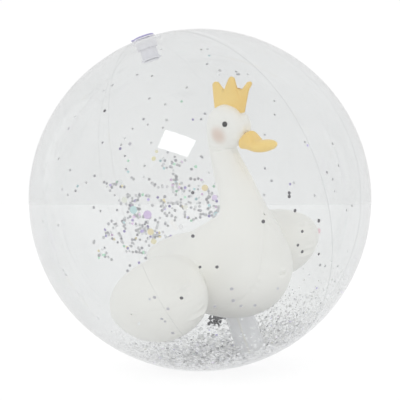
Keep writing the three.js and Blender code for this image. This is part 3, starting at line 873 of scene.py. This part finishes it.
def swan_crown():
    """Two plies with rounded, slightly puffed points, standing on the seam over the head."""
    outline = rounded(np.array(CROWN_OUTLINE) * MM, 1.2 * MM, 4)
    for name, side in (("left", 1), ("right", -1)):
        mesh = bmesh.new()
        ring = [mesh.verts.new((x, 0, z)) for x, z in outline]
        face = mesh.faces.new(ring)
        bmesh.ops.triangulate(mesh, faces=[face])
        bmesh.ops.subdivide_edges(mesh, edges=mesh.edges[:], cuts=5, use_grid_fill=True)
        bmesh.ops.triangulate(mesh, faces=mesh.faces[:])
        mesh.verts.ensure_lookup_table()
        points = np.array([v.co[:] for v in mesh.verts])
        faces = [[v.index for v in f.verts] for f in mesh.faces]
        rim_edges = [[v.index for v in e.verts] for e in mesh.edges if e.is_boundary]
        mesh.free()
        segment = np.roll(outline, -1, axis=0) - outline
        away = np.full(len(points), 1e9)
        for a, d in zip(outline, segment):
            rel = points[:, [0, 2]] - a
            along = np.clip((rel @ d) / max(d @ d, 1e-12), 0, 1)[:, None]
            away = np.minimum(away, np.linalg.norm(rel - along * d, axis=1))
        puff = 1.6 * MM * (1 - np.exp(-away / (3 * MM)))
        inner = points.copy()
        outer = points.copy()
        inner[:, 1] = side * 0.15 * MM
        outer[:, 1] = side * (0.65 * MM + puff)
        count = len(points)
        all_points = np.concatenate([outer, inner])
        normal_flip = side > 0
        polygons = []
        for f in faces:
            a, b, c = f
            cross = np.cross(points[b] - points[a], points[c] - points[a])[1]
            if (cross > 0) != normal_flip:
                f = f[::-1]
            polygons.append(list(f))
            polygons.append([v + count for v in f[::-1]])
        directed = {(f[i], f[(i + 1) % 3]) for f in polygons[::2] for i in range(3)}
        for a, b in rim_edges:
            if (a, b) not in directed:
                a, b = b, a
            polygons.append([b, a, a + count, b + count])
        make_piece(f"crown_{name}", from_swan(all_points), polygons, GOLD, "swan",
                   [f"crown_{name}_ply"])


swan_crown()

HEAD_CENTRE = np.array([72.4, 0, 63]) * MM
EYE_RADIUS = 2.7 * MM


def swan_eyes():
    """Printed dots that follow the head's skin."""
    rows = np.linspace(0.6, 0.98, 400)[:, None]
    for name, side in (("left", 1), ("right", -1)):
        towards = unit([9.6, side * 15.4, 2.7])
        angle = side * np.linspace(0.2, 2.9, 400)[None, :]
        head = body_points(rows, angle)
        spread = np.linalg.norm(np.cross(head - HEAD_CENTRE, towards), axis=-1)
        spread[(head - HEAD_CENTRE) @ towards < 0] = 1
        i, j = np.unravel_index(np.argmin(spread), spread.shape)
        centre = head[i, j]
        normal = unit(surface_normals(head, side)[i, j])
        across = unit(np.cross(normal, [0, 0, 1]))
        upright = np.cross(normal, across)
        outline = rounded([[0, 0.75 * MM], [0, 0.1 * MM], [EYE_RADIUS, 0.1 * MM],
                           [EYE_RADIUS * 0.93, 0.55 * MM], [EYE_RADIUS * 0.6, 0.7 * MM]], 0.1 * MM)
        points, faces = turned(outline, 40)
        placed = centre + points @ np.array([across, upright, normal])
        make_piece(f"{name}_eye_dot", from_swan(placed), faces, INK, "swan", [f"{name}_eye"])


swan_eyes()


TUBE_INNER, TUBE_OUTER = 13.8 * MM, 15 * MM
TUBE_TOP = -124 * MM
TUBE_ROWS = 60


def anchor_tube():
    """Short tube under the swan, with slight folds that fade out towards its top."""
    heights = np.linspace(-RADIUS + 4 * MM, TUBE_TOP, TUBE_ROWS)
    fold = 0.4 * MM * np.sin(heights / (2.6 * MM)) * np.linspace(1, 0, TUBE_ROWS)
    outline = [[TUBE_OUTER + f, h] for f, h in zip(fold, heights)]
    outline += [[TUBE_INNER + f, h] for f, h in zip(fold[::-1], heights[::-1])]
    points, faces = turned(outline, 72)
    make_piece("anchor_tube_film", from_swan(points), faces, TUBE, "swan", ["anchor_tube"])


anchor_tube()


def tube_weld():
    """The narrow welded strip that closes the tube's rolled sheet."""
    turn, half, lift = math.radians(-56), 0.9 * MM, 0.35 * MM
    out = np.array([math.cos(turn), math.sin(turn), 0])
    along = np.array([-math.sin(turn), math.cos(turn), 0])
    heights = np.linspace(-RADIUS + 8 * MM, TUBE_TOP - 4 * MM, 24)
    grids = []
    for reach in (TUBE_OUTER + lift, TUBE_OUTER - 0.5 * MM):
        across = np.linspace(-half, half, 7)
        bow = reach - (across / half) ** 2 * 0.15 * MM
        grids.append(
            bow[None, :, None] * out + across[None, :, None] * along
            + heights[:, None, None] * np.array([0, 0, 1.0])
        )
    points, faces = closed_sheet(grids[0], grids[1])
    make_piece("tube_weld_strip", from_swan(points), faces, WHITE, "swan")


tube_weld()


# ---- glitter ----------------------------------------------------------------------------
FLAKE_RADIUS = 1.55 * MM
FLAKE_SIDES = 10
FAR_COUNT = 150
BED_COUNT = 8200
DRIFT_COUNT = 7000
CLUMP_COUNT = 80
SILVERS = np.array([[0.50, 0.50, 0.51], [0.58, 0.58, 0.59], [0.42, 0.42, 0.44], [0.66, 0.67, 0.67]])
TINTS = np.array([
    [0.52, 0.45, 0.70], [0.50, 0.68, 0.70], [0.74, 0.66, 0.42], [0.34, 0.30, 0.50],
    [0.72, 0.55, 0.74], [0.48, 0.72, 0.56],
])


def flakes(name, centres, normals, tints, replaced=(), radius=FLAKE_RADIUS, sides=FLAKE_SIDES):
    """Thin flakes in one mesh, each with its own tint."""
    count = len(centres)
    normals = unit(normals)
    helper = np.where(np.abs(normals[:, 2:]) < 0.9, [[0, 0, 1]], [[1, 0, 0]])
    across = unit(np.cross(normals, helper))
    upright = np.cross(normals, across)
    angle = np.linspace(0, 2 * np.pi, sides, endpoint=False) + rng.uniform(0, 6, (count, 1))
    sizes = radius * rng.uniform(0.85, 1.12, (count, 1, 1))
    rim = sizes * (
        np.cos(angle)[..., None] * across[:, None] + np.sin(angle)[..., None] * upright[:, None]
    )
    half = 0.05 * MM * normals[:, None]
    top, bottom = centres[:, None] + rim + half, centres[:, None] + rim - half
    points = np.concatenate([top, bottom], axis=1).reshape(-1, 3)
    faces = []
    n = sides
    for k in range(count):
        base = 2 * n * k
        faces.append([base + i for i in range(n)])
        faces.append([base + n + i for i in reversed(range(n))])
        faces.extend([base + i, base + n + i, base + n + (i + 1) % n, base + (i + 1) % n]
                     for i in range(n))
    piece = make_piece(name, points, faces, FLAKES, "ball", replaced, smooth=False)
    colours = np.ones((count, 2 * n, 4))
    colours[..., :3] = tints[:, None]
    attribute = piece.data.color_attributes.new("flake_tint", "FLOAT_COLOR", "POINT")
    attribute.data.foreach_set("color", colours.reshape(-1).astype(np.float32))
    return piece


def random_tints(count, coloured):
    tints = SILVERS[rng.integers(0, len(SILVERS), count)]
    lucky = rng.random(count) < coloured
    tints[lucky] = TINTS[rng.integers(0, len(TINTS), lucky.sum())]
    return tints * rng.uniform(0.75, 1.2, (count, 1))


def toward(azimuth_deg, elevation_deg):
    """Direction from the ball's centre: azimuth 0 faces the camera, positive to the right."""
    a, e = np.radians(azimuth_deg), np.radians(elevation_deg)
    return np.stack([np.sin(a) * np.cos(e), -np.cos(a) * np.cos(e), np.sin(e)], -1)


def on_wall(directions, lift=0.25 * MM):
    return CENTRE + directions * (RADIUS - WALL - lift)


# Single flakes clinging to the wall on the near side, painted dark as painted shade for their unlit
# side: [azimuth, elevation] in degrees.
NEAR_FLAKES = [
    [-2, -10], [18, -6], [26, 1], [28, -3], [37, -6], [31, -9], [30, -13], [32, -15],
    [39, -16], [0, -19], [5, -19], [-2, 2], [-6, -29], [-33, 27], [26, 2],
]
# Paler ones that lie flat against the near wall: the same flakes in a lighter grey, a painted lit
# copy of the dark ones.
PALE_FLAKES = [
    [-11, -33], [11, -30], [10, -26], [-15, -29], [5, -32], [14, -32], [19, -32], [-11, -43],
    [-48, 22], [-21, 16], [-13, -38], [-14, -37],
]
# Painted highlights: flakes in near-white and pastel tints, drawn larger than real flakes, that stand
# in for glints and their glare: [azimuth, elevation, radius in mm before the scale, tint].
GLINT_SCALE = 1.3
PAINTED_GLINTS = [
    [-160, 17, 2.6, (1.0, 0.95, 0.62)], [-161, 20, 1.8, (1.0, 0.96, 0.7)],
    [-148, 0, 3.2, (0.98, 1.0, 0.9)], [-146, 7, 2.4, (0.98, 1.0, 1.0)],
    [-152, -4, 3.6, (0.70, 0.93, 0.93)], [-158, -6, 3.8, (0.86, 0.70, 0.98)],
    [-159, -13, 3.4, (1.0, 0.90, 0.60)], [-160, -17, 3.0, (1.0, 0.93, 0.66)],
    [178, 5, 3.6, (1.0, 0.86, 0.55)], [174, 1, 3.0, (0.90, 0.78, 1.0)],
    [170, -2, 2.8, (0.72, 0.98, 0.96)], [171, -4, 2.2, (0.8, 0.98, 0.98)],
    [-174, -3, 2.4, (1.0, 1.0, 0.92)], [-172, -11, 2.2, (1.0, 1.0, 1.0)],
    [130, -12, 3.6, (0.62, 0.98, 0.76)], [126, -12, 2.4, (1.0, 0.72, 0.78)],
    [-167, -18, 2.2, (1.0, 1.0, 0.95)],
]
# Where the glitter gathers on the far wall: [azimuth, elevation, spread, chains].
DRIFTS = [
    [-156, -8, 5.5, 17], [-158, -14, 5, 13], [-166, 4, 5, 10], [-173, 5, 5, 7], [178, 0, 4, 9],
    [174, -3, 3.5, 9], [-170, -7, 6, 12], [-150, -4, 6, 10], [-140, -17, 6, 9], [-150, 12, 12, 7],
    [172, -10, 5, 5],
]


def chains():
    """Short strings of flakes that have stuck side by side on the far wall."""
    places = []
    for azimuth, elevation, spread, count in DRIFTS:
        for _ in range(count):
            at = toward(azimuth + rng.normal(0, spread), elevation + rng.normal(0, spread))
            way = unit(rng.normal(size=3))
            for _ in range(rng.integers(2, 8)):
                if rng.random() < 0.85:
                    places.append(at)
                way = unit(way + rng.normal(0, 0.5, 3))
                at = unit(at + (way - at * (way @ at)) * rng.uniform(4.4, 6.2) * MM / RADIUS)
    return np.array(places)


def scattered():
    # Painted shade and painted light: near flakes get a dark grey of 0.17 for their unlit side, pale
    # ones a lighter grey of 0.62.
    for name, spots, tint in (("near_flakes", NEAR_FLAKES, 0.17), ("pale_flakes", PALE_FLAKES, 0.62)):
        near = toward(*np.array(spots, float).T)
        grey = np.tile([[tint, tint * 0.97, tint * 1.04]], (len(near), 1))
        flakes(name, on_wall(near), near, grey)
    far = toward(rng.normal(180, 48, FAR_COUNT), rng.normal(4, 34, FAR_COUNT))
    far = far[far[:, 1] > 0.15]
    flakes("far_flakes", on_wall(far), far + rng.normal(0, 0.1, far.shape),
           1.25 * random_tints(len(far), 0.05), radius=1.7 * MM)
    strings = chains()
    flakes("far_strings", on_wall(strings), strings + rng.normal(0, 0.12, strings.shape),
           1.25 * random_tints(len(strings), 0.2), radius=1.85 * MM)
    # Painted highlights: each glint is a flake in a near-white or pastel tint, enlarged by the scale.
    for k, (azimuth, elevation, size, tint) in enumerate(PAINTED_GLINTS):
        at = toward(azimuth, elevation)[None, :]
        flakes(f"glint_{k + 1}", on_wall(at, 0.6 * MM), at, np.array([tint]),
               radius=GLINT_SCALE * size * MM)


def settled(name, count, centre, spread, squeeze, depth, tints, radius, bare, replaced=()):
    """Flakes lying in the bottom of the ball, heaped towards the centre direction.

    None lies nearer the pole's axis than bare, where the anchor tube stands.
    """
    centre = unit(centre)
    at = unit(centre + rng.normal(0, spread, (count, 3)) * squeeze)
    away = np.linalg.norm(at - centre, axis=1)
    lift = rng.uniform(0.05, 1, count) ** 2 * depth * np.exp(-((away / 0.3) ** 2))
    places = CENTRE + at * (RADIUS - WALL - 0.3 * MM - lift)[:, None]
    places[:, 2] = np.maximum(places[:, 2], WALL + 0.4 * MM)
    facing = at + rng.normal(0, 0.2, (count, 3))
    clear = np.linalg.norm(np.cross(places - CENTRE, POLE), axis=1) > bare
    flakes(name, places[clear], facing[clear], tints[clear], replaced, radius, sides=6)


def heap_tints(count, bright, dark):
    """Mostly pale silver; painted light and shade: a share set near-white as painted highlights for
    flakes turned to the light, a share set dark grey as painted shade for flakes turned away from it.
    """
    tints = np.minimum(random_tints(count, 0.06) * 2.3, 1.0)
    pick = rng.random(count)
    # Painted highlight: the bright share is set near-white. Painted shade: the dark share is set dark
    # grey.
    tints[pick < bright] = [1.0, 1.0, 0.98]
    tints[pick > 1 - dark] = [0.33, 0.33, 0.35]
    return tints


def heap():
    """The bed under the swan, a thinner drift to its right, and one dark clump on the far wall."""
    settled("glitter_bed", BED_COUNT, [0.17, 0.02, -0.98], 0.19, [1.3, 1.15, 0.6], 6 * MM,
            heap_tints(BED_COUNT, 0.12, 0.05), FLAKE_RADIUS, 17.5 * MM, ["glitter_heap"])
    settled("glitter_drift", DRIFT_COUNT, [0.34, 0.0, -0.94], 0.24, [1.2, 1.2, 0.9], 3 * MM,
            heap_tints(DRIFT_COUNT, 0.16, 0.04), 1.25 * MM, 20.5 * MM)
    clump = unit(toward(169, -53) + rng.normal(0, 0.032, (CLUMP_COUNT, 3)))
    flakes("dark_clump", on_wall(clump, 2 * MM), clump + rng.normal(0, 0.3, clump.shape),
           np.tile([[0.12, 0.12, 0.13]], (CLUMP_COUNT, 1)))


scattered()
heap()
